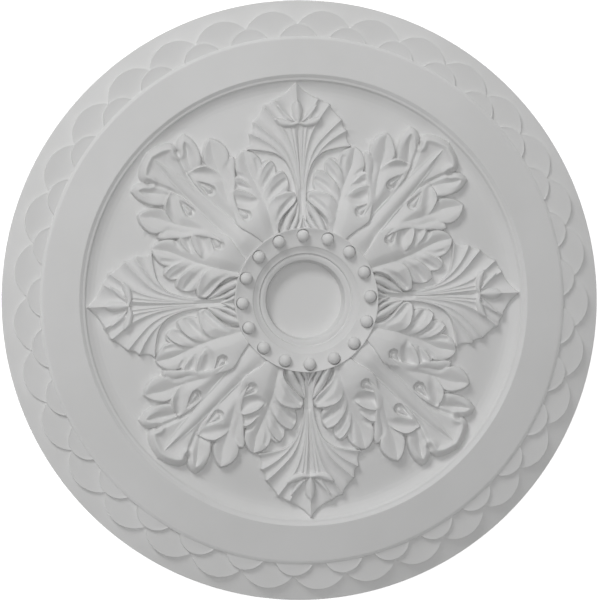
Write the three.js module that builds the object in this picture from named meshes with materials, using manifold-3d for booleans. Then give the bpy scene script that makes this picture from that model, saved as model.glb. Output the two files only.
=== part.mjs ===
// Ceiling rose: one round casting with a flat back, a border of two rows of scales, a plain
// band, a dished bed with acanthus leaves, and a beaded boss around a round recess. Four
// short leaves and four long ones point outwards in turn, with side leaves between them.
// Millimetres. The rose lies on its flat back with its face up, +Z, and its axis on Z.
// Fixed to a ceiling, it is turned over.

import * as THREE from 'three';
import { mergeVertices } from 'three/addons/utils/BufferGeometryUtils.js';
import Module from 'manifold-3d';

const wasm = await Module();
wasm.setup();

// Outer edge, and the margin between it and the tips of the scales. The scales lie on a cone
// that stands higher than the edge by the margin's rise; the ground that shows between their
// tips falls to the edge in one slope.
const roseRadius = 300;
const edgeThickness = 3;
const marginWidth = 10.5;
const marginRise = 7;

// Border: two staggered rows of scales, each row lapping over the one outside it. They are
// carved a little closer together on one side than on the other, so they drift from an even
// spacing, most of all towards the drift side.
const scaleCount = 33;
const scaleTurn = 86.8;
const scaleDrift = 1.5;
const driftSide = 275;
const outerScaleLength = 14;
const innerScaleLength = 13;
const innerScaleWidth = 37.5;
const scaleStep = 2.6;
const scaleSlope = 0.27;
const scaleLap = 1.5;
const groundRise = 1;

// Plain band and the stepped moulding inside it
const bandStep = 2;
const bandWidth = 37;
const bandFall = 9.5;
const bevelWidth = 4;
const bevelFall = 3;
const filletWidth = 1.6;
const coveWidth = 6.5;
const coveFall = 5;

// Dished bed
const bedFlatWidth = 8;
const bedRise = 20;
const bedSweep = 2;
const bedShoulderRise = 8;
const bedShoulderWidth = 26.6;
const bedShoulderTurn = 1.5;
const bedRoot = 2;

// Boss: rim, dished ring of beads, two drops, a small ring and the recess
const bossRadius = 72.2;
const bossStand = 11;
const rimWidth = 1.2;
const dishWidth = 17.8;
const dishFall = 4;
const firstDropWidth = 4.2;
const firstDropFall = 3.6;
const ledgeWidth = 2.7;
const secondDropWidth = 2.8;
const secondDropFall = 3.4;
const ringWidth = 3.5;
const ringHeight = 1.4;
const recessWallWidth = 2.4;
const recessDepth = 12;

// Beads, half sunk in the dished ring
const beadCount = 16;
const beadRadius = 6.2;
const beadInset = 7;
const beadTurn = 3;

// Leafwork. Its points are in hundredths of the leaf reach: along the short leaf's middle,
// across it towards the long leaf, and up from the bed.
const leafReach = 217;
const leafTurn = 2;
const leafCorners = 4;
const leafSink = 6;
const tipLift = 4;
const notchLift = 1.8;
const pointFullness = 1.7;

// Sides of the turned and round shapes
const turnSides = 60;
const bossSides = 32;
const bedSides = 20;
const bedSteps = 4;
const bedStepGrowth = 1.5;
const beadSides = 6;
const beadRings = 4;
const scaleSides = 4;

// Vertices nearer than this are one.
const weldDistance = 1e-4;

const radians = (degrees) => THREE.MathUtils.degToRad(degrees);

// Radii and heights of the body, from the outer edge inwards
const marginRadius = roseRadius - marginWidth;
const innerTipRadius = marginRadius - outerScaleLength;
const scaleRootRadius = innerTipRadius - innerScaleLength;
const bandInnerRadius = scaleRootRadius - bandWidth;
const filletRadius = bandInnerRadius - bevelWidth;
const coveRadius = filletRadius - filletWidth;
const bedEdgeRadius = coveRadius - coveWidth;
const bedLowRadius = bedEdgeRadius - bedFlatWidth;

const marginZ = edgeThickness + marginRise;
const coneHeight = (radius) => marginZ + (marginRadius - radius) * scaleSlope;
const bandOuterZ = coneHeight(scaleRootRadius) + 2 * scaleStep + bandStep;
const bandInnerZ = bandOuterZ + bandFall;
const filletZ = bandInnerZ - bevelFall;
const bedLowZ = filletZ - coveFall;
const bossTopZ = bedLowZ + bedRise + bossStand;

const dishOuterRadius = bossRadius - rimWidth;
const dishInnerRadius = dishOuterRadius - dishWidth;
const ledgeRadius = dishInnerRadius - firstDropWidth;
const ledgeInnerRadius = ledgeRadius - ledgeWidth;
const ringRadius = ledgeInnerRadius - secondDropWidth;
const recessRadius = ringRadius - ringWidth;
const recessFloorRadius = recessRadius - recessWallWidth;
const dishInnerZ = bossTopZ - dishFall;
const ledgeZ = dishInnerZ - firstDropFall;
const ringZ = ledgeZ - secondDropFall;
const recessFloorZ = ringZ - recessDepth;
const bossRootZ = bedLowZ - bedRoot;
const bossRootRadius = recessFloorRadius + recessWallWidth;

// The bed falls from the boss in a long sweep, then over a round shoulder, and runs level
// near its edge.
function bedHeight(radius) {
  const inside = Math.max(0, bedLowRadius - radius);
  const way = inside / (bedLowRadius - bossRadius);
  const shoulder = 1 - Math.exp(-((inside / bedShoulderWidth) ** bedShoulderTurn));
  return bedLowZ + bedShoulderRise * shoulder + (bedRise - bedShoulderRise) * way ** bedSweep;
}

// A closed geometry as a solid, and a solid as a geometry
function solidOf(geometry) {
  geometry.deleteAttribute('normal');
  geometry.deleteAttribute('uv');
  const merged = mergeVertices(geometry, weldDistance);
  const corners = [];
  for (let start = 0; start < merged.index.count; start += 3) {
    const [a, b, c] = merged.index.array.slice(start, start + 3);
    if (a !== b && b !== c && c !== a) corners.push(a, b, c);
  }
  return new wasm.Manifold(new wasm.Mesh({
    numProp: 3,
    vertProperties: new Float32Array(merged.attributes.position.array),
    triVerts: new Uint32Array(corners),
  }));
}

function geometryOf(solid) {
  const mesh = solid.getMesh();
  const geometry = new THREE.BufferGeometry();
  geometry.setAttribute('position', new THREE.BufferAttribute(mesh.vertProperties, 3));
  geometry.setIndex(new THREE.BufferAttribute(mesh.triVerts, 1));
  geometry.computeVertexNormals();
  return geometry;
}

function turnedSolid(profile, sides) {
  const points = profile.map(([radius, height]) => new THREE.Vector2(radius, height));
  const geometry = new THREE.LatheGeometry(points, sides);
  geometry.rotateX(Math.PI / 2);
  return solidOf(geometry);
}

// A closed solid whose top passes through rows of points, each row running from right to
// left, and whose sides drop straight down by the depth.
function loftSolid(rows, depth) {
  const across = rows[0].length;
  const count = rows.length * across;
  const tops = rows.flat();
  const positions = tops.flatMap((point) => [point.x, point.y, point.z]);
  for (const point of tops) positions.push(point.x, point.y, point.z - depth);
  const faces = [];
  const quad = (a, b, c, d) => faces.push(a, b, c, a, c, d);
  for (let row = 0; row < rows.length - 1; row += 1) {
    for (let column = 0; column < across - 1; column += 1) {
      const start = row * across + column;
      const next = start + across;
      quad(start, next, next + 1, start + 1);
      quad(count + start, count + start + 1, count + next + 1, count + next);
    }
  }
  const wall = (a, b) => quad(a, b, count + b, count + a);
  const lastRow = count - across;
  for (let column = 0; column < across - 1; column += 1) {
    wall(column, column + 1);
    wall(lastRow + column + 1, lastRow + column);
  }
  for (let start = 0; start < lastRow; start += across) {
    wall(start + across, start);
    wall(start + across - 1, start + 2 * across - 1);
  }
  const geometry = new THREE.BufferGeometry();
  geometry.setAttribute('position', new THREE.Float32BufferAttribute(positions, 3));
  geometry.setIndex(faces);
  return solidOf(geometry);
}

// The same rows, turned about the axis, or mirrored first
function turnedRows(rows, angle) {
  const axis = new THREE.Vector3(0, 0, 1);
  return rows.map((row) => row.map((point) => point.clone().applyAxisAngle(axis, angle)));
}

// The rows with each point moved round by the drift of the scales at its place
function driftedRows(rows) {
  const axis = new THREE.Vector3(0, 0, 1);
  const moved = (point) => {
    const place = Math.atan2(point.y, point.x);
    const drift = radians(scaleDrift) * Math.cos(place - radians(driftSide));
    return point.clone().applyAxisAngle(axis, drift);
  };
  return rows.map((row) => row.map(moved));
}

function mirroredRows(rows) {
  const flip = (point) => new THREE.Vector3(point.x, -point.y, point.z);
  return rows.map((row) => row.map(flip).reverse());
}

function bodySolid() {
  const profile = [
    [0, 0],
    [roseRadius, 0],
    [roseRadius, edgeThickness],
    [innerTipRadius, coneHeight(innerTipRadius) + groundRise],
    [scaleRootRadius, coneHeight(scaleRootRadius)],
    [scaleRootRadius, bandOuterZ],
    [bandInnerRadius, bandInnerZ],
    [filletRadius, filletZ],
    [coveRadius, filletZ],
    [bedEdgeRadius, bedLowZ],
    [0, bedLowZ],
  ];
  return turnedSolid(profile, turnSides);
}

// The swell of the bed under the leaves
function bedSolid() {
  const profile = [
    [0, bedLowZ - bedRoot],
    [bedLowRadius, bedLowZ - bedRoot],
  ];
  for (let step = 0; step <= bedSteps; step += 1) {
    const share = (step / bedSteps) ** bedStepGrowth;
    const radius = THREE.MathUtils.lerp(bedLowRadius, bossRadius, share);
    profile.push([radius, bedHeight(radius)]);
  }
  profile.push([bossRootRadius, bedHeight(bossRadius)]);
  profile.push([bossRootRadius, bedLowZ - bedRoot / 2]);
  profile.push([0, bedLowZ - bedRoot / 2]);
  return turnedSolid(profile, bedSides);
}

function bossSolid() {
  const profile = [
    [0, bossRootZ],
    [bossRadius, bossRootZ],
    [bossRadius, bossTopZ],
    [dishOuterRadius, bossTopZ],
    [dishInnerRadius, dishInnerZ],
    [ledgeRadius, ledgeZ],
    [ledgeInnerRadius, ledgeZ],
    [ringRadius, ringZ],
    [ringRadius - ringWidth / 2, ringZ + ringHeight],
    [recessRadius, ringZ],
    [recessFloorRadius, recessFloorZ],
    [0, recessFloorZ],
  ];
  return turnedSolid(profile, bossSides);
}

function beadSolids() {
  const radius = dishOuterRadius - beadInset;
  const height = bossTopZ - (dishFall * beadInset) / dishWidth;
  const solids = [];
  for (let bead = 0; bead < beadCount; bead += 1) {
    const angle = radians(beadTurn) + (bead / beadCount) * 2 * Math.PI;
    const geometry = new THREE.SphereGeometry(beadRadius, beadSides, beadRings);
    geometry.rotateX(Math.PI / 2);
    geometry.translate(radius * Math.cos(angle), radius * Math.sin(angle), height);
    solids.push(solidOf(geometry));
  }
  return solids;
}

// One scale about the +X axis: its free edge is an arc through its tip, and it narrows from
// the arc's ends to a root that is tucked in beside the band.
function scaleRows(tipRadius, sagitta, width, lift) {
  const rootRadius = scaleRootRadius - scaleLap;
  const arcRadius = (sagitta ** 2 + (width / 2) ** 2) / (2 * sagitta);
  const reach = Math.asin(Math.min(1, width / 2 / arcRadius));
  const root = new THREE.Vector3(rootRadius, 0, coneHeight(rootRadius) + lift);
  const edge = [];
  for (let side = 0; side <= scaleSides; side += 1) {
    const share = (2 * side) / scaleSides - 1;
    const x = tipRadius - arcRadius + arcRadius * Math.cos(share * reach);
    const y = arcRadius * Math.sin(share * reach);
    edge.push(new THREE.Vector3(x, y, coneHeight(Math.hypot(x, y)) + lift));
  }
  return [edge.map(() => root.clone()), edge];
}

function scaleSolids() {
  const spacing = (2 * Math.PI) / scaleCount;
  const outerWidth = 2 * innerTipRadius * Math.sin(spacing / 2);
  const outerSagitta = marginRadius - innerTipRadius * Math.cos(spacing / 2);
  const outer = scaleRows(marginRadius, outerSagitta, outerWidth, scaleStep);
  const inner = scaleRows(innerTipRadius, innerScaleLength, innerScaleWidth, 2 * scaleStep);
  const solids = [];
  for (let scale = 0; scale < scaleCount; scale += 1) {
    const angle = radians(scaleTurn) + scale * spacing;
    solids.push(loftSolid(driftedRows(turnedRows(outer, angle)), 3 * scaleStep));
    solids.push(loftSolid(driftedRows(turnedRows(inner, angle + spacing / 2)), 4 * scaleStep));
  }
  return solids;
}

// A point of the leafwork, lifted off the bed
function leafPoint(along, across, lift) {
  const x = (along * leafReach) / 100;
  const y = (across * leafReach) / 100;
  return new THREE.Vector3(x, y, bedHeight(Math.hypot(x, y)) + (lift * leafReach) / 100);
}

const curveThrough = (points) => new THREE.CatmullRomCurve3(points.map((p) => new THREE.Vector3(...p)));

// Rows of a leaf lobe. Each station is a point of its middle line, its lift and its half
// width. The edges stand above the middle by the hollow, or below it where that is negative.
// Past the cap share of its length, a lobe closes to a round end or to a point.
function lobeRows({ stations, hollow, cap = 0.7, point = false }) {
  const middle = curveThrough(stations.map((station) => station.slice(0, 3)));
  const widths = new THREE.SplineCurve(stations.map((station, at) => new THREE.Vector2(at, station[3])));
  const rows = [];
  for (const share of [0, cap / 2, cap, (1 + cap) / 2, 1]) {
    const spot = middle.getPoint(share);
    const way = middle.getTangent(share);
    const length = Math.hypot(way.x, way.y);
    const end = Math.max(0, (share - cap) / (1 - cap));
    const closing = point ? 1 - end ** pointFullness : Math.sqrt(1 - end ** 2);
    const half = widths.getPoint(share).y * closing;
    const rim = hollow * closing;
    const sideX = -way.y / length;
    const sideY = way.x / length;
    rows.push([
      leafPoint(spot.x - sideX * half, spot.y - sideY * half, spot.z + rim),
      leafPoint(spot.x, spot.y, spot.z),
      leafPoint(spot.x + sideX * half, spot.y + sideY * half, spot.z + rim),
    ]);
  }
  return rows;
}

// The side leaf stands on each side of each short leaf. Its middle is a valley; its edges
// are cut into lobes, whose tips stand higher than the notches between them.
const sideLeaf = {
  middle: [[32, 14, 3], [46, 17.7, 3.8], [57.6, 22.4, 3.3], [69.6, 25.7, 4]],
  right: [
    [30, 11.8, notchLift], [40, 8.7, notchLift], [45.2, 3.4, tipLift], [49.5, 3.7, tipLift],
    [50.2, 6.7, notchLift], [55.3, 6, tipLift], [59.3, 8.3, tipLift], [58.9, 11.5, notchLift],
    [63.5, 12.4, tipLift], [62.9, 17.8, notchLift], [67.5, 20.5, tipLift], [69.6, 25.7, tipLift],
  ],
  left: [
    [29, 19.4, notchLift], [33, 27.6, tipLift], [38, 31.6, tipLift], [45.2, 33.2, tipLift],
    [51.6, 33.2, tipLift], [54.1, 31.5, notchLift], [56, 31.8, tipLift], [58, 29, notchLift],
    [61.8, 30, tipLift], [65, 29.5, tipLift], [68, 27.8, tipLift], [69.6, 25.7, tipLift],
  ],
  swell: [1, 3, 3, 2.2, 1, 0.6, 0.4, 0.2, 0.2, 0.2, 0.2, 0],
};

// One half of the long leaf, between its stem and its three pointed leaflets
const longLeaf = {
  middle: [[38, 33.6, 4], [52, 41, 3.4], [61, 49, 3], [69, 60, 2.8]],
  right: [
    [37, 31.6, notchLift], [54, 33.5, notchLift], [66.8, 30.9, tipLift], [64.7, 33.5, notchLift],
    [70, 33.5, tipLift], [75.3, 41.2, tipLift], [71, 43.7, tipLift], [63.3, 43.1, notchLift],
    [71.4, 47, tipLift], [77.9, 51.6, tipLift], [74.2, 55.2, tipLift], [69.8, 55.7, notchLift],
    [72.6, 60, tipLift],
  ],
  left: [[38, 35.4, notchLift], [49, 47, notchLift], [60, 58.5, notchLift], [68, 68.4, notchLift]],
  swell: [0, 0.8, 0.4, 0.6, 0.8, 0.2, 0.6, 0.8, 0.4, 0.2, 0.5, 0.6, 0.4],
};

// The round lobe that curls over the roots of the leaflets
const curledLobe = {
  stations: [[57.5, 37, 3, 3.4], [58.2, 43.5, 5, 4.3], [59.4, 49.8, 4.2, 4]], hollow: 1, cap: 0.5,
};

// The long leaf's stem and its end lobe, drawn along its own middle
const endLobe = {
  stations: [[74, 0, 2.4, 7], [84, 0, 2.6, 9.6], [91, 0, 3.6, 10.6], [98.8, 0, 5.2, 10.6]], hollow: 1,
};
const stem = {
  stations: [[33.8, 0, 3, 6.4], [40, 0, 6.6, 4.6], [50, 0, 5, 3.5], [70, 0, 3.2, 3], [93.5, 0, 2.6, 1.4]],
  hollow: -1.2, point: true,
};

// The bud near the tip of the short leaf
const bud = { stations: [[80.5, 0, 3.6, 1.4], [86, 0, 4.8, 1.9], [92, 0, 4.6, 2]], hollow: -0.9 };

// The short leaf's blade: ribs and the flutes between them, from its waist to its cut
// edge, for the half towards +Y. The middle of the leaf comes first.
const bladeRibs = [
  [[38, 0, 3.4], [60, 0, 3], [82, 0, 3.2], [100, 0, 4]],
  [[38, 0.5, 3], [62, 1.4, 2.4], [82, 3.4, 2.6], [96, 4.4, 3.2]],
  [[38, 0.9, 3.3], [64, 2.1, 2.9], [82, 5, 3.6], [92.4, 8.8, 4.2]],
  [[38, 1.2, 3.3], [64, 3.2, 2.9], [79, 7.2, 3.6], [89.5, 13.1, 4.2]],
  [[38, 1.3, 3], [62, 4.2, 2.2], [76, 10, 2.6], [86, 16.4, 3.2]],
  [[38, 1.4, 3.3], [60, 4.6, 2.9], [73, 10, 3.6], [82.6, 18.7, 4.2]],
  [[38, 1.6, 3.3], [58, 4.6, 2.9], [69, 10.8, 3.6], [77.9, 20.9, 4.2]],
  [[38, 1.7, 3], [57, 4.6, 2.2], [66, 10.4, 2.4], [73, 21.4, 2.8]],
  [[38, 1.8, 3.2], [56, 4.2, 2.8], [65, 9.4, 3.2], [69.4, 22.6, 3.4]],
];
const bladeSteps = 3;

function bladeRows() {
  const rows = [];
  const curves = bladeRibs.map(curveThrough);
  for (let step = 0; step <= bladeSteps; step += 1) {
    const points = curves.map((curve) => curve.getPoint(step / bladeSteps));
    const left = points.map((p) => leafPoint(p.x, p.y, p.z));
    const right = points.slice(1).map((p) => leafPoint(p.x, -p.y, p.z)).reverse();
    rows.push([...right, ...left]);
  }
  return rows;
}

// Rows of a lobed leaf: a point of each edge, the middle, and the swell beside the middle
function leafRows({ middle, right, left, swell }) {
  const valley = curveThrough(middle);
  const leftEdge = curveThrough(left);
  return right.map((rightSpot, at) => {
    const share = at / (right.length - 1);
    const spot = valley.getPoint(share);
    const leftSpot = leftEdge.getPoint(share);
    const between = spot.clone().lerp(leftSpot, 0.5);
    return [
      leafPoint(...rightSpot),
      leafPoint(spot.x, spot.y, spot.z),
      leafPoint(between.x, between.y, tipLift + swell[at]),
      leafPoint(leftSpot.x, leftSpot.y, leftSpot.z),
    ];
  });
}

// How far the highest point of these rows stands over the bed
function rise(rows) {
  return Math.max(...rows.flat().map((point) => point.z - bedHeight(Math.hypot(point.x, point.y))));
}

function leafSolids() {
  const pairs = [leafRows(sideLeaf), leafRows(longLeaf), lobeRows(curledLobe)];
  const shortMiddles = [lobeRows(bud), bladeRows()];
  const longMiddles = [lobeRows(endLobe), lobeRows(stem)];
  const solids = [];
  const addTurned = (rows, angle) => solids.push(loftSolid(turnedRows(rows, angle), leafSink + rise(rows)));
  for (let corner = 0; corner < leafCorners; corner += 1) {
    const angle = radians(leafTurn) + (corner / leafCorners) * 2 * Math.PI;
    for (const rows of [...pairs, ...pairs.map(mirroredRows), ...shortMiddles]) addTurned(rows, angle);
    for (const rows of longMiddles) addTurned(rows, angle + Math.PI / leafCorners);
  }
  return solids;
}

const body = [bodySolid(), bedSolid(), bossSolid()];
const solids = [...body, ...beadSolids(), ...scaleSolids(), ...leafSolids()];
const rose = new THREE.Mesh(
  geometryOf(solids.reduce((whole, solid) => whole.add(solid))),
  new THREE.MeshStandardMaterial({ color: 0xe4e4e2, roughness: 0.75, metalness: 0 }),
);
rose.name = 'ceiling_rose';

const part = new THREE.Group();
part.add(rose);
export default part;
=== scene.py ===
import math

import bmesh
import bpy
import numpy as np
from mathutils import Euler, Matrix, Vector


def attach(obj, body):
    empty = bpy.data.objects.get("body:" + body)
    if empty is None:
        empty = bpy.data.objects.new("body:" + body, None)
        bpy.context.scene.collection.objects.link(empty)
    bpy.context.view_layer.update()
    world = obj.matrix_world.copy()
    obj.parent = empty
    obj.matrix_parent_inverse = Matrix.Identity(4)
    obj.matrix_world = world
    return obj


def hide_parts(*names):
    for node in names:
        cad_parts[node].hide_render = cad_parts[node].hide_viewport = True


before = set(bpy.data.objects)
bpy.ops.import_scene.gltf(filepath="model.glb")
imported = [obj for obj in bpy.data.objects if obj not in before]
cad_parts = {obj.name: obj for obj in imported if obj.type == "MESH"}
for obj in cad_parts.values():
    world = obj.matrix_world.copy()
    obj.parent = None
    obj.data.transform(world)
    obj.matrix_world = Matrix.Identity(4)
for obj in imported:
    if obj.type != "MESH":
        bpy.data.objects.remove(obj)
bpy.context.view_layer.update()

# Body of the ceiling rose: one round casting in white-primed rigid foam, with a flat back.
# Its face is turned: margin, seat of the scales, plain band, stepped moulding, bed and boss.
# The mould is turned and carved, so every turned corner is a little rounded.
MM = 0.001
weld_distance = 0.01
rose_radius, edge_z = 300.0, 3.0
body_steps = 240

margin_radius, margin_z = 289.5, 10.0
inner_tip_radius, ground_rise = 275.5, 1.0
cone_slope = 0.27
scale_root_radius = 262.5
band_foot_radius, band_foot_z = 263.6, 22.4
band_edge_radius, band_outer_z = 261.0, 24.49
band_inner_radius, band_inner_z = 225.5, 33.99
fillet_radius, fillet_z = 222.1, 31.89
cove_radius, cove_z = 219.9, 31.59
cove_foot_radius, cove_foot_z = 218.0, 29.19
bed_edge_radius, bed_edge_z = 213.0, 26.89
bed_level_radius, bed_low_z = 209.0, 25.99
relief_edge, relief_seat = 207.0, 1.4
bed_low_radius, bed_rise, bed_sweep = 205.4, 20.0, 2.0
bed_shoulder_rise, bed_shoulder_width, bed_shoulder_turn = 8.0, 26.6, 1.5
under_relief_z = 24.0

boss_radius, rim_radius, boss_top_z = 72.2, 71.2, 56.99
dish_outer_radius, dish_outer_z = 67.0, 55.0
dish_middle_radius, dish_middle_z = 61.0, 53.4
dish_inner_radius, dish_inner_z = 53.8, 52.8
drop_radius, drop_z = 53.0, 51.9
ledge_radius, ledge_z = 49.0, 49.8
ledge_edge_radius, ledge_edge_z = 46.8, 49.4
ring_groove_radius, ring_groove_z = 45.8, 47.4
small_ring_radius, small_ring_z = 43.4, 47.6
recess_radius, recess_edge_z = 40.0, 46.2
recess_floor_radius, recess_floor_z = 37.6, 33.99

smallest_rounding, largest_rounding_share = 0.05, 0.45
arc_shares = (0.0, 0.33, 0.67, 1.0)
long_run, support_inset = 6.0, 0.6


def cone_height(radius):
    """Height of the slope that the scales lie on."""
    return margin_z + (margin_radius - radius) * cone_slope


# Radius, height and rounding of each corner of the turned face, from the back outwards
turned_corners = [
    (rose_radius, 0.0, 0.0),
    (rose_radius, edge_z, 0.8),
    (inner_tip_radius, cone_height(inner_tip_radius) + ground_rise, 0.0),
    (band_foot_radius, cone_height(band_foot_radius), 0.0),
    (band_foot_radius, band_foot_z, 0.3),
    (band_edge_radius, band_outer_z, 0.8),
    (band_inner_radius, band_inner_z, 0.5),
    (fillet_radius, fillet_z, 0.3),
    (cove_radius, cove_z, 0.4),
    (cove_foot_radius, cove_foot_z, 0.4),
    (bed_edge_radius, bed_edge_z, 3.0),
    (bed_level_radius, bed_low_z, 1.0),
    (relief_edge, bed_low_z, 0.0),
    (relief_edge - relief_seat, under_relief_z, 0.0),
    (boss_radius, under_relief_z, 0.0),
    (boss_radius, boss_top_z, 0.6),
    (rim_radius, boss_top_z, 0.6),
    (dish_outer_radius, dish_outer_z, 3.0),
    (dish_middle_radius, dish_middle_z, 3.0),
    (dish_inner_radius, dish_inner_z, 0.5),
    (drop_radius, drop_z, 0.4),
    (ledge_radius, ledge_z, 2.4),
    (ledge_edge_radius, ledge_edge_z, 0.3),
    (ring_groove_radius, ring_groove_z, 0.3),
    (small_ring_radius, small_ring_z, 1.2),
    (recess_radius, recess_edge_z, 0.4),
    (recess_floor_radius, recess_floor_z, 0.3),
]


def rounded(corners):
    """The corners as a line whose turns are short arcs."""
    points = [Vector(corners[0][:2])]
    for before, corner, after in zip(corners, corners[1:], corners[2:]):
        at = Vector(corner[:2])
        back, on = Vector(before[:2]) - at, Vector(after[:2]) - at
        room = largest_rounding_share * min(back.length, on.length)
        cut = min(corner[2], room)
        if cut < smallest_rounding:
            points.append(at)
            continue
        start, end = at + back.normalized() * cut, at + on.normalized() * cut
        for share in arc_shares:
            points.append(start.lerp(at, share).lerp(at.lerp(end, share), share))
    return points + [Vector(corners[-1][:2])]


def supported(points):
    """The line with a point close to each end of a long run, so that the run shades evenly."""
    line = [points[0]]
    for start, end in zip(points, points[1:]):
        if (end - start).length > long_run:
            inset = (end - start).normalized() * support_inset
            line += [start + inset, end - inset]
        line.append(end)
    return line


def piece_from(bm, name):
    """A closed object from a bmesh in millimetres, its faces pointing outwards."""
    bmesh.ops.remove_doubles(bm, verts=bm.verts, dist=weld_distance)
    bmesh.ops.recalc_face_normals(bm, faces=bm.faces)
    bmesh.ops.scale(bm, vec=(MM, MM, MM), verts=bm.verts)
    mesh = bpy.data.meshes.new(name)
    bm.to_mesh(mesh)
    bm.free()
    return bpy.data.objects.new(name, mesh)


def turned_body():
    bm = bmesh.new()
    outline = [bm.verts.new((0, 0, 0))]
    face = supported(rounded(turned_corners))
    outline += [bm.verts.new((point.x, 0, point.y)) for point in face]
    outline.append(bm.verts.new((0, 0, recess_floor_z)))
    edges = [bm.edges.new(pair) for pair in zip(outline, outline[1:])]
    bmesh.ops.spin(
        bm, geom=outline + edges, cent=(0, 0, 0), axis=(0, 0, 1),
        angle=2 * math.pi, steps=body_steps, use_merge=True,
    )
    return piece_from(bm, "ceiling_rose_casting")


casting = turned_body()

# Border: two staggered rows of 33 scales, cast in one with the body. Each scale has a round
# free edge and a faintly dished face, and each row laps over the one outside it. They stand a
# little closer together on one side, so they drift from an even spacing.
scale_count = 33
scale_turn = math.radians(86.8)
scale_drift, drift_side = math.radians(1.5), math.radians(275)
inner_scale_length, inner_scale_width = 13.0, 37.5
scale_step, scale_lap, scale_dish = 2.6, 1.5, 0.5
scale_sides, scale_rows = 18, 6
scale_root_share = 0.95


def scale_piece(tip_radius, sagitta, width, lift, angle):
    """One scale: a grid drawn out to a round edge and given a depth, with upright walls."""
    root = scale_root_radius - scale_lap
    arc = (sagitta ** 2 + (width / 2) ** 2) / (2 * sagitta)
    reach = math.asin(min(1, width / 2 / arc))
    depth = 2 * scale_step + lift

    def on_cone(side, out, sink):
        x = root + (tip_radius - arc + arc * math.cos(side) - root) * out
        y = arc * math.sin(side) * (scale_root_share + (1 - scale_root_share) * out)
        dish = scale_dish * 4 * out * (1 - out)
        return x, y, cone_height(math.hypot(x, y)) + lift - dish - sink

    bm = bmesh.new()
    bmesh.ops.create_grid(bm, x_segments=scale_sides, y_segments=scale_rows, size=1)
    top = bmesh.ops.extrude_face_region(bm, geom=bm.faces[:])
    sunk = {part for part in top["geom"] if isinstance(part, bmesh.types.BMVert)}
    for vert in bm.verts:
        vert.co = on_cone(vert.co.x * reach, (vert.co.y + 1) / 2, depth if vert in sunk else 0)
        towards = angle + math.atan2(vert.co.y, vert.co.x)
        drift = scale_drift * math.cos(towards - drift_side)
        vert.co.rotate(Matrix.Rotation(angle + drift, 3, "Z"))
    return piece_from(bm, "scale")


spacing = 2 * math.pi / scale_count
outer_width = 2 * inner_tip_radius * math.sin(spacing / 2)
outer_sagitta = margin_radius - inner_tip_radius * math.cos(spacing / 2)
moulded = []
for count in range(scale_count):
    turn = scale_turn + count * spacing
    moulded.append(scale_piece(margin_radius, outer_sagitta, outer_width, scale_step, turn))
    moulded.append(scale_piece(
        inner_tip_radius, inner_scale_length, inner_scale_width, 2 * scale_step, turn + spacing / 2,
    ))

# Beads: sixteen round beads, each in a shallow socket of the dished ring of the boss. The mould
# gives bead and socket in one with the boss; here the sockets are cut before the beads go in.
bead_count = 16
bead_radius, bead_ring_radius, bead_z = 6.2, 64.0, 55.42
bead_turn = math.radians(3)
bead_sides, bead_rings, socket_sides = 28, 14, 40
socket_radius, socket_floor_z, socket_top_z, socket_draft = 6.8, 53.4, 58.0, 0.6
sockets = []


def bead_place(bead, height):
    angle = bead_turn + bead * 2 * math.pi / bead_count
    return bead_ring_radius * math.cos(angle), bead_ring_radius * math.sin(angle), height


for bead in range(bead_count):
    bm = bmesh.new()
    bmesh.ops.create_uvsphere(bm, u_segments=bead_sides, v_segments=bead_rings, radius=bead_radius)
    bmesh.ops.translate(bm, vec=bead_place(bead, bead_z), verts=bm.verts)
    moulded.append(piece_from(bm, "bead"))
    bm = bmesh.new()
    bmesh.ops.create_cone(
        bm, cap_ends=True, segments=socket_sides, radius1=socket_radius - socket_draft,
        radius2=socket_radius + socket_draft, depth=socket_top_z - socket_floor_z,
    )
    middle = (socket_top_z + socket_floor_z) / 2
    bmesh.ops.translate(bm, vec=bead_place(bead, middle), verts=bm.verts)
    sockets.append(piece_from(bm, "socket"))

# Leafwork: four short leaves on the axes, four long ones between them and eight side leaves,
# carved in the mould and cast in one with the body. It is carved here as a height over the
# bed: u runs along a short leaf, v across it towards a long leaf, in millimetres.
leaf_turn = math.radians(2)
sector, sector_copies = math.pi / 4, 3
mirror_weld = 0.005
relief_start, relief_end = 70.5, 219.6
rings_over_bed, rings_over_cove, columns = 200, 20, 220
relief_floor_z = 20.0
relief_share = 0.16
wall_slope = 5.0
layer_blend = 0.5
arris_width, arris_fall = 0.9, 0.5
flute_share, flute_limit = 0.3, 4.4
end_start, end_run = 178, 16
rim_rise, rim_inset, rim_width = 2.4, 5.5, 2.6
rim_fall, rim_fall_run = 3.2, 5
bowl_fall, bowl_run = 1.4, 8


def bed(radius):
    """Height of the bed: a long sweep, a round shoulder and a level edge."""
    inside = np.clip(bed_low_radius - radius, 0, None)
    shoulder = 1 - np.exp(-(inside / bed_shoulder_width) ** bed_shoulder_turn)
    sweep = (inside / (bed_low_radius - boss_radius)) ** bed_sweep
    return bed_low_z + bed_shoulder_rise * shoulder + (bed_rise - bed_shoulder_rise) * sweep


def curve(rows, steps=8):
    """A smooth line through rows of u, v and whatever else varies along it."""
    rows = np.array(rows, float)
    ends = np.vstack([2 * rows[0] - rows[1], rows, 2 * rows[-1] - rows[-2]])
    t = np.linspace(0, 1, steps, endpoint=False)[:, None]
    parts = []
    for a, b, c, d in zip(ends, ends[1:], ends[2:], ends[3:]):
        square, cube = 2 * a - 5 * b + 4 * c - d, 3 * b - 3 * c + d - a
        parts.append(b + 0.5 * ((c - a) * t + square * t ** 2 + cube * t ** 3))
    return np.vstack(parts + [rows[-1:]])


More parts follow.
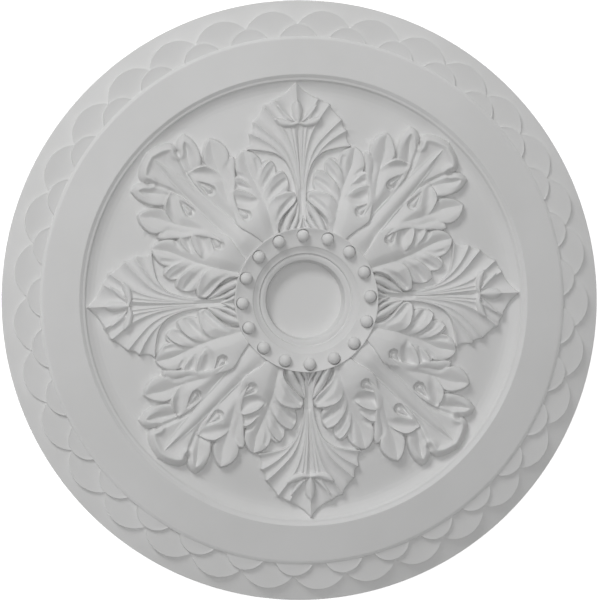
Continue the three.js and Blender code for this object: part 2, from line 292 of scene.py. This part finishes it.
def beside(line, u, v):
    """Distance from a line, the side of it (+1 on its left) and its values at the nearest point."""
    best = np.full(u.shape, np.inf)
    side = np.zeros(u.shape)
    values = np.zeros((line.shape[1] - 2,) + u.shape)
    for a, b in zip(line, line[1:]):
        du, dv = b[0] - a[0], b[1] - a[1]
        t = np.clip(((u - a[0]) * du + (v - a[1]) * dv) / (du * du + dv * dv), 0, 1)
        off_u, off_v = u - a[0] - t * du, v - a[1] - t * dv
        distance = np.hypot(off_u, off_v)
        near = distance < best
        best[near] = distance[near]
        side[near] = np.sign(du * off_v - dv * off_u)[near]
        for value, start, end in zip(values, a[2:], b[2:]):
            value[near] = start + (end - start) * t[near]
    return best, side, values


def soft_max(a, b, blend):
    return np.maximum(a, b) + np.maximum(blend - np.abs(a - b), 0) ** 2 / (4 * blend)


def table(pairs, x):
    places, values = zip(*pairs)
    return np.interp(x, places, values)


def smooth_table(pairs, x):
    line = curve(pairs)
    return np.interp(x, line[:, 0], line[:, 1])


def inside_distance(stretches, u, v):
    """Distance from an outline made of smooth stretches, positive inside it."""
    outline = np.vstack([curve(stretch) for stretch in stretches])
    closed = np.vstack([outline, outline[:1]])
    moved = np.hypot(*np.diff(closed, axis=0).T) > 1e-6
    closed = closed[np.r_[True, moved]]
    distance, _, _ = beside(closed, u, v)
    odd = np.zeros(u.shape, bool)
    for a, b in zip(closed, closed[1:]):
        if a[1] != b[1]:
            crosses = (a[1] > v) != (b[1] > v)
            odd ^= crosses & (u < a[0] + (v - a[1]) * (b[0] - a[0]) / (b[1] - a[1]))
    return np.where(odd, distance, -distance)


def groove(z, u, v, rows, power=2.0, fullness=2.0):
    """A cut along rows of u, v, depth and half width. A high power gives a flat floor."""
    distance, _, (depth, half) = beside(curve(rows), u, v)
    share = np.clip(distance / np.maximum(half, 0.01), 0, 1)
    return z - depth * (1 - share ** power) ** fullness


def ridge(z, u, v, rows, power=2.0, fullness=2.0):
    """A raised line or drop along rows of u, v, height and half width."""
    distance, _, (height, half) = beside(curve(rows), u, v)
    share = np.clip(distance / np.maximum(half, 0.01), 0, 1)
    return z + height * (1 - share ** power) ** fullness


def lip(z, u, v, rows, inner_side, under=0.7, edge=0.9):
    """A raised edge along rows of u, v, height and run, which laps over what lies past it."""
    distance, side, (height, run) = beside(curve(rows), u, v)
    run = np.maximum(run, 0.01)
    raised = height * (1 - np.clip(distance / run, 0, 1)) ** 1.5
    fall = np.clip(distance / edge, 0, 1)
    lapped = under * height * (1 - np.clip((distance - edge) / run, 0, 1)) ** 1.5
    past = height * (1 - fall) - lapped * fall
    return z + np.where(side * inner_side >= 0, raised, past)


def cut_out(z, inner):
    """The leaf inside its outline, with a slightly rounded arris and steep walls."""
    arris = arris_fall * np.clip(1 - inner / arris_width, 0, 1) ** 2
    return np.where(inner > 0, z - arris, z - arris_fall + wall_slope * inner)


# Height of the leaves' faces by radius
leaf_face = [
    (60, 52), (68, 54), (74, 55.6), (80, 56.6), (86, 57.2), (92, 57), (98, 55.9), (105, 53.2),
    (112, 50.8), (120, 48.4), (130, 45.8), (145, 42.9), (160, 40.6), (175, 38.6), (190, 36.6),
    (205, 35), (220, 34.8),
]


def short_leaf(u, v):
    """A palm of sharp ribs with hollow flutes, and three small buds near its tip."""
    outline = [
        [(66, -3), (66, 3.6)],
        [(66, 3.6), (85, 3.4), (100, 4.3), (110, 5), (118, 6), (125, 8), (132, 10.5), (140, 15),
         (147, 24), (150, 34), (151.5, 44), (152, 52)],
        [(152, 52), (155, 49.6), (160, 48.6), (167, 49)],
        [(167, 49), (169.5, 46.4), (172, 45.2), (178, 44.4)],
        [(178, 44.4), (182, 41), (186, 38), (190, 34.6), (193.5, 33)],
        [(193.5, 33), (195.5, 31), (196.5, 27.5), (199, 24), (201, 19)],
        [(201, 19), (206, 11), (211, 5), (217, 0)],
        [(217, 0), (217, -3)],
    ]
    inner = inside_distance(outline, u, v)
    lift = table([
        (60, 3), (80, 4), (110, 4), (130, 4.8), (150, 6), (170, 6.5), (190, 7), (200, 8), (217, 7.6),
    ], u)
    ribs = [
        [(66, 3.4), (85, 3.2), (100, 4), (110, 4.7), (118, 5.7), (125, 7.6), (132, 10.1),
         (140, 14.6), (146.6, 24), (149.5, 34), (151, 44), (151.6, 52)],
        [(107, 3.6), (120, 6), (132, 10), (142, 16), (152, 24.5), (161, 36), (168, 49)],
        [(110, 2.8), (122, 5.2), (135, 9), (145, 12.5), (155, 18.5), (165, 28), (172, 36), (179, 44)],
        [(112, 1.8), (130, 3.8), (145, 6.2), (160, 10.5), (172, 16), (184, 24.5), (194.5, 33)],
        [(112, 1), (130, 2.6), (150, 5), (165, 7), (178, 10), (190, 15.5), (201, 22)],
        [(112, 0.6), (130, 1.2), (150, 2.4), (165, 3.6), (176, 4.6)],
        [(176, 0), (190, 0), (217, 0)],
    ]
    reach = np.sort([beside(curve(rib), u, v)[0] for rib in ribs], axis=0)
    width = reach[0] + reach[1]
    share = reach[0] / np.maximum(width, 0.01)
    flute = np.minimum(flute_share * width, flute_limit)
    top = bed(np.hypot(u, v)) + lift
    z = top - flute * 4 * share * (1 - share)
    z = groove(z, u, v, [(108, 0, 0.4, 1), (130, 0, 1, 1.3), (160, 0, 1.4, 1.6), (176, 0, 1, 1.8)])
    z = cut_out(z, inner)
    bud = [(176.5, 0, 1), (182, 0, 3.6), (189, 0, 4.8), (195, 0, 4), (199.5, 0, 0.8)]
    curl = [(176.5, 1.5, 1.2), (175.4, 7, 2.4), (176.4, 12, 3.2), (178, 17.5, 3.4), (181, 22, 1.6)]
    tip = [(179, 5, 0.8), (183, 10, 1.8), (188, 14.5, 1.9), (194, 19.5, 0.6)]
    for rows, crown, base in ((bud, 3.2, -0.6), (curl, 3, 0), (tip, 1.6, -0.8)):
        distance, _, (half,) = beside(curve(rows), u, v)
        round_top = 1 - np.minimum(distance / np.maximum(half, 0.01), 1) ** 2
        lobe = top + base + crown * round_top - wall_slope * np.maximum(distance - half, 0)
        z = soft_max(z, lobe, 0.3)
    return z


def base_husks(u, v):
    """Three long husks, one in another, that the short and side leaves grow from."""
    z = np.zeros(u.shape)
    husks = (
        ([(68, 20, 7.5, 2.6), (74, 17.6, 7.6, 3.2), (82, 14, 5.5, 3.4), (90, 9, 4.4, 3),
          (97, 5, 3.2, 1.2)], 2.8),
        ([(69, 13.5, 7, 1.8), (74, 10, 6.8, 2.2), (81, 6.4, 4.4, 2), (89, 4.4, 3.6, 1.6),
          (96, 3.8, 3, 0.6)], 2),
        ([(68, 7.2, 7.2, 1.4), (73, 4.4, 6.8, 1.6), (79, 1.6, 4.2, 1.2), (84, 0, 3.4, 0.6)], 1.4),
    )
    for rows, crown in husks:
        distance, _, (lift, half) = beside(curve(rows), u, v)
        round_top = 1 - np.minimum(distance / np.maximum(half, 0.01), 1) ** 2
        husk = bed(np.hypot(u, v)) + lift + crown * round_top
        z = soft_max(z, husk - wall_slope * np.maximum(distance - half, 0), 0.3)
    return z


def side_leaf(u, v):
    """A leaf with a valley along its middle: lapping fingers below it, cups and an eye above."""
    outline = [
        [(62, 24), (72, 25.8), (80, 23.8), (87, 18.8), (93, 12.3), (98, 7.4), (103, 5.8), (107.5, 8)],
        [(107.5, 8), (108.4, 11.5), (109, 14.5)],
        [(109, 14.5), (114, 12.8), (120, 13), (125, 14.6), (128.6, 18)],
        [(128.6, 18), (128.9, 21.5), (127.8, 25)],
        [(127.8, 25), (132, 24.8), (137, 26.4), (140.2, 30)],
        [(140.2, 30), (140, 34.5), (136.5, 38.6)],
        [(136.5, 38.6), (141.5, 40.2), (146.5, 44.5), (149.5, 50), (151, 55.8)],
        [(151, 55.8), (147.5, 60.3), (141, 64), (134, 65), (126, 63)],
        [(126, 63), (124.8, 66.8), (121.5, 69), (117.5, 68.4)],
        [(117.5, 68.4), (115.5, 70.4), (112, 72), (105, 73.4), (98, 72.4)],
        [(98, 72.4), (90, 69.8), (82, 67.8), (76, 65), (71, 58), (66, 50), (58, 40)],
        [(58, 40), (56, 30), (62, 24)],
    ]
    inner = inside_distance(outline, u, v)
    z = smooth_table(leaf_face, np.hypot(u, v))
    valley_line = [
        (64, 29), (72, 30.5), (80, 32.8), (90, 35), (100, 38.5), (110, 41.8), (120, 46.5),
        (135, 53), (150, 56),
    ]
    distance, side, _ = beside(curve(valley_line), u, v)
    fall = table([(0, 0), (10, 1.5), (20, 4.5), (30, 8.5), (40, 12)], distance)
    fall *= table([(70, 1), (90, 0.8), (110, 0.6), (130, 0.35), (150, 0.12)], u)
    z = np.where(side < 0, z - fall, z)
    depth = table([(60, 2.5), (75, 5), (90, 5.5), (110, 5.5), (125, 5), (140, 4.2), (150, 2.5)], u)
    reach = table([(60, 8), (80, 11), (110, 11), (130, 9), (150, 6)], u)
    z -= depth * (1 - np.clip(distance / reach, 0, 1)) ** 1.4
    channels = (
        [(80, 26, 1.2, 4), (89, 21.5, 3.4, 5), (96, 15, 4, 5), (101, 9.6, 2.4, 4)],
        [(102, 33.5, 1.2, 3.5), (109, 28, 3.4, 4.8), (115, 21.5, 4, 5), (119.5, 15.6, 2.6, 4.4)],
        [(114, 37.6, 1, 3.5), (121, 34, 2.8, 4.4), (128, 29.5, 3.2, 4.4), (133, 26.6, 1.8, 3.6)],
        [(125, 43.4, 0.8, 3), (133, 42.6, 2, 3.6), (141, 44, 1.6, 3.4)],
        [(101, 46, 1.5, 4), (98.5, 52, 4, 6.5), (99.6, 60, 4.8, 7.6), (102.5, 66.6, 3.4, 6.6),
         (104, 70.6, 0.4, 4)],
        [(112.5, 52, 1.2, 2.6), (114.6, 58, 2.8, 3.4), (116.6, 63.4, 3, 3.8), (118, 67.4, 0.6, 2.4)],
        [(122, 55, 1.2, 3), (125.5, 59.5, 2.8, 3.5), (127.5, 63, 2, 3.2)],
    )
    for rows in channels:
        z = groove(z, u, v, rows)
    finger_edges = (
        [(91, 34.5, 0.3, 3), (98, 32.6, 1.4, 5), (103.6, 27, 2.6, 6), (106.6, 18.5, 3, 6),
         (107.6, 9, 2.2, 5)],
        [(104, 38.3, 0.3, 3), (111, 36.6, 1.4, 5), (119, 32, 2.6, 6), (125.5, 25.5, 3, 6),
         (128.8, 18, 2.2, 5)],
        [(116, 42.6, 0.3, 3), (124, 41.4, 1.2, 4), (131, 38.6, 1.8, 4), (136.6, 34.6, 2, 4),
         (140, 30.2, 1.4, 3)],
    )
    for rows in finger_edges:
        z = lip(z, u, v, rows, -1)
    cup_edges = (
        [(101.5, 45, 0.3, 3), (106.6, 50.5, 1.6, 5), (110.4, 58, 2.4, 6), (112, 66, 2.2, 5),
         (110, 71, 0.8, 3)],
        [(115.6, 52, 0.3, 2), (120.2, 57.5, 1.4, 3), (123.4, 63.5, 1.8, 3.4), (122.6, 67.6, 0.8, 2.4)],
    )
    for rows in cup_edges:
        z = lip(z, u, v, rows, 1)
    eye = [(86, 57.4, 6, 6), (88.6, 61.6, 5, 4.6), (92, 66.4, 2.6, 2.6), (94, 69.4, 0.6, 1)]
    drop = [(86.6, 58.2, 4.8, 3.5), (88.8, 61.6, 3.6, 2.6), (91.6, 65.6, 1.6, 1.2)]
    z = groove(z, u, v, eye, 4, 1)
    z = ridge(z, u, v, drop, 2, 1)
    return cut_out(z, inner)


def long_leaf(u, v):
    """Half of a long leaf: a tapering stem, three leaflets, a curled lobe and a bowl-like end."""
    across, along = (u - v) / math.sqrt(2), (u + v) / math.sqrt(2)
    radius = np.hypot(u, v)
    outline = [
        [(45, 53), (45, 40), (60, 38)],
        [(60, 38), (70, 50), (78, 58), (90, 64), (105, 68), (118, 66)],
        [(118, 66), (132, 66), (140, 65.5), (145, 67)],
        [(145, 67), (144, 70.5), (140.5, 72.8)],
        [(140.5, 72.8), (146, 71.6), (152, 72.6), (157.5, 76.5), (161.5, 82.5), (163.5, 89.3)],
        [(163.5, 89.3), (160, 92.3), (154, 94.8), (147, 96.2), (141, 95.6), (137.4, 93.6)],
        [(137.4, 93.6), (138, 96.5), (137.6, 99)],
        [(137.6, 99), (146, 99.5), (155, 102), (163, 106.4), (169, 114)],
        [(169, 114), (166, 118.4), (161, 121.4), (156, 122), (151.5, 121.4)],
        [(151.5, 121.4), (157, 123.6), (160, 128), (159.8, 135), (157, 143), (152, 152)],
        [(152, 152), (148, 160), (45, 53)],
    ]
    inner = inside_distance(outline, u, v)
    half = table([
        (60, 19), (75, 14.2), (85, 10.5), (95, 8.6), (105, 7.8), (130, 7.5), (150, 7), (170, 5.5),
        (187, 3.8), (200, 1.2), (204, 0.01),
    ], along)
    crest = smooth_table([
        (60, 52), (70, 54.4), (75, 55.8), (80, 57), (86, 57.8), (92, 56.6), (100, 53.4), (110, 49.8),
        (125, 46), (150, 42), (170, 39), (190, 36.8), (205, 35), (220, 34.4),
    ], along)
    drop = table([(60, 3), (80, 4.2), (95, 4), (130, 3.6), (170, 2.8), (190, 1.8), (204, 0)], along)
    stem = crest - drop * np.clip(across / half, 0, 1) ** 1.7
    face = smooth_table(leaf_face, radius) + table([(90, 0), (120, 1), (150, 1), (200, 0)], radius)
    run = table([(60, 8), (80, 8), (100, 11), (130, 13), (160, 15), (190, 22), (210, 24)], along)
    share = np.clip((across - half) / run, 0, 1)
    blade = crest - drop + (face - crest + drop) * (share * share * (3 - 2 * share)) ** 0.8
    z = np.where(across < half, stem, blade)
    stem_line = [
        (62, 42, 0.8, 1), (70, 57, 1.2, 1.1), (88, 77, 1.3, 1.1), (110, 100, 1.2, 1.1),
        (125, 117, 1, 1.1), (135, 129, 0.7, 1), (143, 139, 0.2, 0.8),
    ]
    z = ridge(z, u, v, stem_line, 1, 1.2)
    leaflet_valleys = (
        [(122, 107, 0.5, 5), (130, 108.7, 3, 8), (140, 110.5, 4.8, 9), (150, 112, 4.8, 9),
         (160, 113.6, 3.6, 7), (168, 114.2, 1.5, 4)],
        [(98, 73, 0.5, 4), (105, 75, 2.2, 5), (113, 76.5, 3.4, 7), (125, 79.5, 4.2, 9), (135, 83, 4.8, 11),
         (145, 86.5, 4.6, 11), (155, 88, 3.4, 8), (162, 89, 1.5, 4)],
        [(112, 71, 0.6, 3), (120, 71.5, 2, 4), (128, 73.6, 2.6, 5), (135, 74, 2.4, 4.5), (141, 71, 1.2, 3)],
    )
    for rows in leaflet_valleys:
        z = groove(z, u, v, rows, 1, 1.3)
    parting = [(120, 105.5, 0.4, 2), (128, 112.4, 2, 3), (140, 118, 3, 3.4), (152, 122, 3.8, 3.6)]
    z = groove(z, u, v, parting)
    trough = [
        (124, 82, 1, 4), (126.4, 88, 2.8, 7.5), (128.4, 95, 3.6, 8.4), (130, 102, 3.2, 7.4),
        (131, 108.6, 0.8, 4),
    ]
    z = groove(z, u, v, trough)
    outer_edge = [
        (129, 82, 0.4, 4), (133.4, 88.6, 1.8, 6), (136.4, 96, 2.6, 6), (135, 104, 2.6, 6),
        (130.8, 111, 1.4, 4),
    ]
    z = lip(z, u, v, outer_edge, 1)
    inner_edge = [(100, 88, 0.3, 4), (109, 97.4, 1, 6), (119, 105.4, 1.8, 6), (130.4, 112.2, 1.6, 4)]
    z = lip(z, u, v, inner_edge, -1, 0.9)
    eye = [(112, 91, 5.8, 5.8), (115.4, 95, 4.6, 4.6), (119, 100, 2.4, 2.6), (121.4, 103, 0.6, 1)]
    tear = [(112.6, 91.8, 4.6, 3.4), (115, 94.6, 3.4, 2.5), (118, 98.4, 1.4, 1.2)]
    z = groove(z, u, v, eye, 4, 1)
    z = ridge(z, u, v, tear, 2, 1)
    end = np.clip((along - end_start) / end_run, 0, 1)
    rim = rim_rise * np.exp(-((inner - rim_inset) / rim_width) ** 2)
    rim -= rim_fall * np.clip(1 - inner / rim_fall_run, 0, 1) ** 1.5
    z += end * (rim - bowl_fall * np.clip((inner - rim_inset) / bowl_run, 0, 1))
    return cut_out(z, inner)


def relief(u, v):
    z = bed(np.hypot(u, v))
    for layer in (short_leaf, base_husks, long_leaf, side_leaf):
        z = soft_max(z, layer(u, v), layer_blend)
    return z


def relief_piece():
    """One eighth of the bed as a grid, carved, then mirrored and turned into the whole ring."""
    inner_rings = np.linspace(relief_start, relief_edge, rings_over_bed)
    outer_rings = np.linspace(relief_edge, relief_end, rings_over_cove)[1:]
    radii = np.concatenate([inner_rings, outer_rings])
    bm = bmesh.new()
    bmesh.ops.create_grid(bm, x_segments=len(radii) - 1, y_segments=columns, size=1)
    grid = np.array([vert.co[:2] for vert in bm.verts])
    radius = radii[np.rint((grid[:, 0] + 1) / 2 * (len(radii) - 1)).astype(int)]
    angle = (grid[:, 1] + 1) / 2 * sector
    u, v = radius * np.cos(angle), radius * np.sin(angle)
    for vert, *carved in zip(bm.verts, u, v, relief(u, v)):
        vert.co = carved
    whole = bm.verts[:] + bm.edges[:] + bm.faces[:]
    bmesh.ops.mirror(bm, geom=whole, axis="Y", merge_dist=mirror_weld)
    bmesh.ops.spin(
        bm, geom=bm.verts[:] + bm.edges[:] + bm.faces[:], cent=(0, 0, 0), axis=(0, 0, 1),
        angle=sector_copies * 2 * sector, steps=sector_copies, use_duplicate=True,
    )
    bmesh.ops.remove_doubles(bm, verts=bm.verts, dist=weld_distance)
    rims = [edge for edge in bm.edges if edge.is_boundary]
    hung = bmesh.ops.extrude_edge_only(bm, edges=rims)
    for vert in hung["geom"]:
        if isinstance(vert, bmesh.types.BMVert):
            vert.co.z = relief_floor_z
    bmesh.ops.bridge_loops(bm, edges=[edge for edge in bm.edges if edge.is_boundary])
    bmesh.ops.rotate(bm, cent=(0, 0, 0), matrix=Matrix.Rotation(leaf_turn, 3, "Z"), verts=bm.verts)
    return piece_from(bm, "leafwork")


def baked(piece):
    """Applies the piece's modifiers to its mesh."""
    drawn = piece.evaluated_get(bpy.context.evaluated_depsgraph_get())
    mesh = bpy.data.meshes.new_from_object(drawn)
    piece.modifiers.clear()
    piece.data = mesh


leafwork = relief_piece()
bpy.context.scene.collection.objects.link(leafwork)
thinning = leafwork.modifiers.new("thinning", "DECIMATE")
thinning.ratio = relief_share
baked(leafwork)
bpy.context.scene.collection.objects.unlink(leafwork)
moulded.append(leafwork)

# The whole rose: everything that the mould gives is one solid, in a matt white primer that
# dries to a fine even grain over the rigid foam. It is painted after it is fixed.
sharp_angle = math.radians(38)
primer_low, primer_high = (0.77, 0.77, 0.765, 1), (0.80, 0.80, 0.797, 1)
sheen_low, sheen_high = (0.70, 0.70, 0.70, 1), (0.78, 0.78, 0.78, 1)
cloud_scale, sheen_scale, grain_scale = 14, 60, 900
grain_strength, grain_depth = 0.25, 0.0002
ramp_start, ramp_end = 0.35, 0.65
bpy.context.scene.collection.objects.link(casting)


def join_or_cut(solids, operation):
    """Joins the solids to the casting, or cuts them out of it."""
    group = bpy.data.collections.new("mould")
    for solid in solids:
        group.objects.link(solid)
    step = casting.modifiers.new("mould", "BOOLEAN")
    step.operation, step.operand_type, step.solver = operation, "COLLECTION", "MANIFOLD"
    step.collection = group
    baked(casting)
    for solid in solids:
        bpy.data.objects.remove(solid)
    bpy.data.collections.remove(group)


join_or_cut(sockets, "DIFFERENCE")
join_or_cut(moulded, "UNION")
casting.data.shade_smooth()
casting.data.set_sharp_from_angle(angle=sharp_angle)


def primer_material():
    """Matt white primer: faint clouds of tone and sheen, and a fine grain."""
    material = bpy.data.materials.new("white_primer_on_foam")
    material.use_nodes = True
    nodes, links = material.node_tree.nodes, material.node_tree.links
    shader = nodes["Principled BSDF"]
    coordinates = nodes.new("ShaderNodeTexCoord")

    def noise(scale, detail):
        pattern = nodes.new("ShaderNodeTexNoise")
        pattern.inputs["Scale"].default_value = scale
        pattern.inputs["Detail"].default_value = detail
        links.new(coordinates.outputs["Object"], pattern.inputs["Vector"])
        return pattern.outputs["Fac"]

    def ramp(fac, low, high):
        shades = nodes.new("ShaderNodeValToRGB")
        start, end = shades.color_ramp.elements
        start.position, start.color = ramp_start, low
        end.position, end.color = ramp_end, high
        links.new(fac, shades.inputs["Fac"])
        return shades.outputs["Color"]

    clouds = ramp(noise(cloud_scale, 3), primer_low, primer_high)
    links.new(clouds, shader.inputs["Base Color"])
    sheen = ramp(noise(sheen_scale, 2), sheen_low, sheen_high)
    links.new(sheen, shader.inputs["Roughness"])
    shader.inputs["Specular IOR Level"].default_value = 0.3
    grain = nodes.new("ShaderNodeBump")
    grain.inputs["Strength"].default_value = grain_strength
    grain.inputs["Distance"].default_value = grain_depth
    links.new(noise(grain_scale, 2), grain.inputs["Height"])
    links.new(grain.outputs["Normal"], shader.inputs["Normal"])
    return material


casting.data.materials.clear()
casting.data.materials.append(primer_material())
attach(casting, "root")
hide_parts("ceiling_rose")

# Studio: a pale floor under the rose, in metres, with one soft light from the upper left, a wide
# one from the front and an even fill. The floor glows a little, so that it stays near white.
floor_radius, floor_gap, floor_sides = 60.0, 0.0003, 96
floor_white, floor_roughness, floor_glow = (0.9, 0.9, 0.9, 1), 0.9, 0.65
fill_strength = 0.20
bm = bmesh.new()
bmesh.ops.create_circle(bm, cap_ends=True, segments=floor_sides, radius=floor_radius)
bmesh.ops.translate(bm, vec=(0, 0, -floor_gap), verts=bm.verts)
floor_mesh = bpy.data.meshes.new("floor")
bm.to_mesh(floor_mesh)
bm.free()
floor = bpy.data.objects.new("floor", floor_mesh)
bpy.context.scene.collection.objects.link(floor)
floor_paint = bpy.data.materials.new("pale_floor")
floor_paint.use_nodes = True
floor_shader = floor_paint.node_tree.nodes["Principled BSDF"]
floor_shader.inputs["Base Color"].default_value = floor_white
floor_shader.inputs["Roughness"].default_value = floor_roughness
floor_shader.inputs["Emission Color"].default_value = (1, 1, 1, 1)
floor_shader.inputs["Emission Strength"].default_value = floor_glow
floor_mesh.materials.append(floor_paint)


def soft_light(name, azimuth, elevation, energy, spread):
    """A wide far light. Azimuth runs clockwise from +Y, elevation up from the floor."""
    light = bpy.data.lights.new(name, "SUN")
    light.energy, light.angle = energy, math.radians(spread)
    azimuth, elevation = math.radians(azimuth), math.radians(elevation)
    towards = Vector((
        math.sin(azimuth) * math.cos(elevation),
        math.cos(azimuth) * math.cos(elevation),
        math.sin(elevation),
    ))
    holder = bpy.data.objects.new(name, light)
    holder.rotation_euler = towards.to_track_quat("Z", "Y").to_euler()
    bpy.context.scene.collection.objects.link(holder)


soft_light("key", azimuth=325, elevation=38, energy=1.05, spread=20)
soft_light("front", azimuth=325, elevation=84, energy=0.66, spread=50)

world = bpy.data.worlds.new("studio")
world.use_nodes = True
sky = world.node_tree.nodes["Background"]
sky.inputs["Color"].default_value = (1, 1, 1, 1)
sky.inputs["Strength"].default_value = fill_strength
bpy.context.scene.world = world
bpy.context.scene.view_settings.view_transform = "Standard"

# Camera: a long lens that stands a little to the left of the axis, as in the photograph. Its
# picture is as wide as the rose, and shifted by half a pixel of 600.
picture_width = 0.600
picture_pixels, shift_pixels = 600, 0.5
camera_tilt, camera_distance = math.radians(7.25), 18.0
camera_data = bpy.data.cameras.new("camera")
camera_data.sensor_width = 36.0
camera_data.lens = camera_data.sensor_width * camera_distance / picture_width
camera_data.shift_x = shift_pixels / picture_pixels
camera = bpy.data.objects.new("camera", camera_data)
camera.location = (
    -camera_distance * math.sin(camera_tilt), 0, camera_distance * math.cos(camera_tilt),
)
camera.rotation_euler = Euler((0, -camera_tilt, 0))
bpy.context.scene.collection.objects.link(camera)
bpy.context.scene.camera = camera
